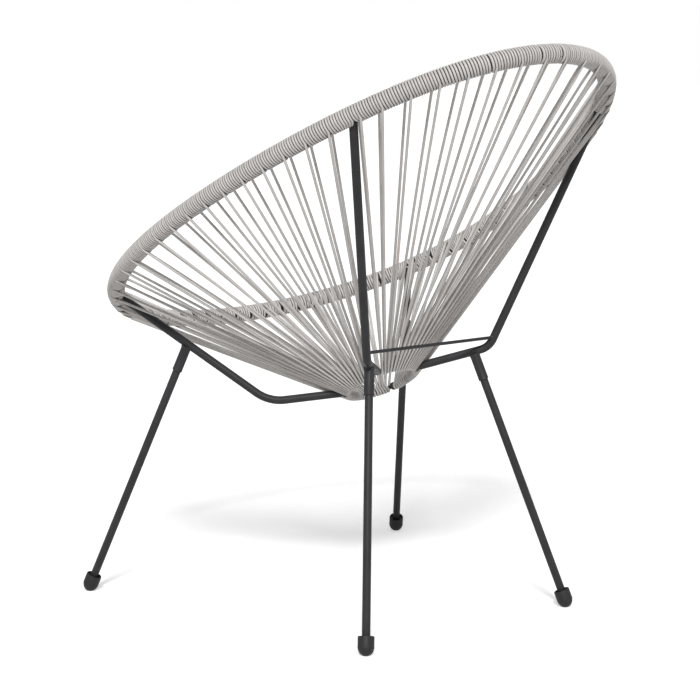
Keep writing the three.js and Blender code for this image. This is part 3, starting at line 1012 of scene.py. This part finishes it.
class CHAIR_OT_mould_foot_caps(bpy.types.Operator):
    """Mould the rubber foot caps"""

    bl_idname = "chair.mould_foot_caps"
    bl_label = "Mould Foot Caps"

    DOME_STEPS = 8
    # The moulding seam: how far it stands out, and hangs over the dome inside and outside
    SEAM_STEP = 0.4 * MM
    SEAM = (1.5 * MM, 1.0 * MM)
    # The lip and the recess behind it, as (past the radius, below the top)
    LIP = ((0, 1.1 * MM), (-0.5 * MM, 0), (-1.5 * MM, 0), (-1.9 * MM, 0.8 * MM), (-2 * MM, 4 * MM))
    # The bore's mouth in the recess, as (past the bore's radius, below the top)
    MOUTH = ((0.5 * MM, 4 * MM), (0, 4.6 * MM))

    def execute(self, context):
        turn_pieces(context, "foot_cap", "rubber", self.profile, bottom=0.0)
        return {"FINISHED"}

    def profile(self, legs, down):
        radius = legs.cap_radius
        rim = radius - self.SEAM_STEP
        bore = legs.radius + FIT_GAP
        top = down - legs.cap_top
        dome = []
        for i in range(self.DOME_STEPS + 1):
            turn = QUARTER * i / self.DOME_STEPS
            dome.append((math.sin(turn) * rim, down + math.cos(turn) * radius))
        return [
            *dome,
            (rim, down + self.SEAM[0]),
            (radius, down + self.SEAM[1]),
            *((radius + out, top + below) for out, below in self.LIP),
            *((bore + out, top + below) for out, below in self.MOUTH),
            (bore, top + CAP_BORE),
            (0, top + CAP_BORE),
        ]


class CHAIR_OT_string_cord(bpy.types.Operator):
    """Wind the hoop with cord and string it in pairs to the base ring"""

    bl_idname = "chair.string_cord"
    bl_label = "String Cord"

    ROUNDNESS = 3
    # How far off the skin other cord is felt, and the spacing of the points felt, in radii
    PROBE = 0.6

    def execute(self, context):
        strings = Stringing(context.scene)
        layer = CordLayer(strings)
        radius = strings.cord.radius
        probe = self.PROBE * radius
        paths = [layer.section_path(index) for index in range(len(strings.sections))]
        middles = [point for path in paths for point in every(path, probe)]
        tree = KDTree(len(middles))
        for index, point in enumerate(middles):
            tree.insert(point, index)
        tree.balance()
        for index, path in enumerate(paths):
            bm = bmesh.new()
            add_rods(bm, [path], radius, self.ROUNDNESS)
            mark_crevices(bm, tree, radius, probe)
            node = f"cord_section_{index + 1:02d}"
            place_piece(bm, f"{node}_strung", "cord", node)
        return {"FINISHED"}


class CHAIR_OT_set_stage(bpy.types.Operator):
    """Set the floor, the soft light and the camera"""

    bl_idname = "chair.set_stage"
    bl_label = "Set Stage"

    WHITE = (1, 1, 1, 1)
    FLOOR_REACH = 30.0
    FLOOR_COLOUR = (0.86, 0.86, 0.86, 1)
    # Strength added to the floor for the rays that show it, and the sky's strength as a light
    FLOOR_GLOW = 0.5
    SKY_LIGHT = 0.12
    # Name, strength, spread in degrees and way of each sun
    SUNS = (
        ("key_light", 2.9, 12, (-0.62, -0.75, -0.85)),
        ("side_light", 0.3, 50, (0.2, -0.1, -1.0)),
    )
    FOCAL_LENGTH = 103.37
    SENSOR_WIDTH = 36
    SHIFT = (-0.00527, 0.00079)
    CAMERA = (1.9326, 2.3275, 0.8466)
    AIM = (0, -0.0446, 0.38274)

    def execute(self, context):
        scene = context.scene
        scene.view_settings.view_transform = "Standard"
        self.add_floor()
        self.add_sky(scene)
        self.add_suns()
        self.add_camera(scene)
        return {"FINISHED"}

    def seen(self, tree):
        """1 for rays that come from the camera, a gloss or a glass."""
        path = tree.nodes.new("ShaderNodeLightPath")
        factor = path.outputs["Is Camera Ray"]
        for name in ("Is Glossy Ray", "Is Transmission Ray"):
            larger = tree.nodes.new("ShaderNodeMath")
            larger.operation = "MAXIMUM"
            tree.links.new(factor, larger.inputs[0])
            tree.links.new(path.outputs[name], larger.inputs[1])
            factor = larger.outputs[0]
        return factor

    def fill(self, node, **values):
        for key, value in values.items():
            node.inputs[key.replace("_", " ")].default_value = value

    def shown(self, tree, light, show, output):
        """One shader for the light on the chair, another for the rays that show the ground."""
        mixed = tree.nodes.new("ShaderNodeMixShader")
        tree.links.new(self.seen(tree), mixed.inputs[0])
        tree.links.new(light.outputs[0], mixed.inputs[1])
        tree.links.new(show.outputs[0], mixed.inputs[2])
        tree.links.new(mixed.outputs[0], tree.nodes[output].inputs["Surface"])

    def add_floor(self):
        bm = bmesh.new()
        bmesh.ops.create_grid(bm, x_segments=1, y_segments=1, size=self.FLOOR_REACH)
        floor = put("floor", meshed("floor", bm))
        paper = bpy.data.materials.new("White Floor")
        paper.use_nodes = True
        tree = paper.node_tree
        shader = tree.nodes["Principled BSDF"]
        self.fill(shader, Base_Color=self.FLOOR_COLOUR, Roughness=1.0, Specular_IOR_Level=0.0)
        glow = tree.nodes.new("ShaderNodeEmission")
        self.fill(glow, Color=self.WHITE, Strength=self.FLOOR_GLOW)
        added = tree.nodes.new("ShaderNodeAddShader")
        tree.links.new(shader.outputs[0], added.inputs[0])
        tree.links.new(glow.outputs[0], added.inputs[1])
        self.shown(tree, shader, added, "Material Output")
        floor.data.materials.append(paper)

    def add_sky(self, scene):
        sky = bpy.data.worlds.new("Soft Sky")
        sky.use_nodes = True
        tree = sky.node_tree
        light = tree.nodes["Background"]
        self.fill(light, Color=self.WHITE, Strength=self.SKY_LIGHT)
        white = tree.nodes.new("ShaderNodeBackground")
        self.fill(white, Color=self.WHITE, Strength=1.0)
        self.shown(tree, light, white, "World Output")
        scene.world = sky

    def add_suns(self):
        for name, power, spread, way in self.SUNS:
            sun = bpy.data.lights.new(name, "SUN")
            sun.energy = power
            sun.angle = math.radians(spread)
            lamp = put(name, sun)
            lamp.rotation_mode = "QUATERNION"
            lamp.rotation_quaternion = Vector(way).to_track_quat("-Z", "Y")

    def add_camera(self, scene):
        lens = bpy.data.cameras.new("photo_view")
        lens.lens = self.FOCAL_LENGTH
        lens.sensor_width = self.SENSOR_WIDTH
        lens.shift_x, lens.shift_y = self.SHIFT
        camera = put("photo_view", lens)
        camera.location = self.CAMERA
        look = Vector(self.AIM) - camera.location
        camera.rotation_mode = "QUATERNION"
        camera.rotation_quaternion = look.to_track_quat("-Z", "Y")
        scene.camera = camera


class CHAIR_PT_builder(bpy.types.Panel):
    """The chair's sizes, colours and building steps"""

    bl_label = "Strung Lounge Chair"
    bl_idname = "CHAIR_PT_builder"
    bl_space_type = "VIEW_3D"
    bl_region_type = "UI"
    bl_category = "Chair"

    def draw(self, context):
        for name, group in SETTINGS.items():
            box = self.layout.box()
            for key in group.__annotations__:
                box.prop(getattr(context.scene, name), key)
        for step in STEPS:
            self.layout.operator(step.bl_idname)


SETTINGS = {
    "chair_hoop": HoopSizes,
    "chair_ring": RingSizes,
    "chair_cord": CordSizes,
    "chair_arms": ArmSizes,
    "chair_legs": LegSizes,
    "chair_colours": ChairColours,
}
STEPS = (
    CHAIR_OT_roll_hoop,
    CHAIR_OT_bend_base_ring,
    CHAIR_OT_bend_arms,
    CHAIR_OT_turn_sockets,
    CHAIR_OT_turn_legs,
    CHAIR_OT_mould_foot_caps,
    CHAIR_OT_string_cord,
    CHAIR_OT_set_stage,
)


def register():
    for group in SETTINGS.values():
        bpy.utils.register_class(group)
    for name, group in SETTINGS.items():
        setattr(bpy.types.Scene, name, bpy.props.PointerProperty(type=group))
    for step in STEPS:
        bpy.utils.register_class(step)
    bpy.utils.register_class(CHAIR_PT_builder)


def unregister():
    bpy.utils.unregister_class(CHAIR_PT_builder)
    for step in reversed(STEPS):
        bpy.utils.unregister_class(step)
    for name, group in SETTINGS.items():
        delattr(bpy.types.Scene, name)
        bpy.utils.unregister_class(group)


def main():
    register()
    bpy.ops.chair.roll_hoop()
    bpy.ops.chair.bend_base_ring()
    bpy.ops.chair.bend_arms()
    bpy.ops.chair.turn_sockets()
    bpy.ops.chair.turn_legs()
    bpy.ops.chair.mould_foot_caps()
    bpy.ops.chair.string_cord()
    bpy.ops.chair.set_stage()


if __name__ == "__main__":
    main()
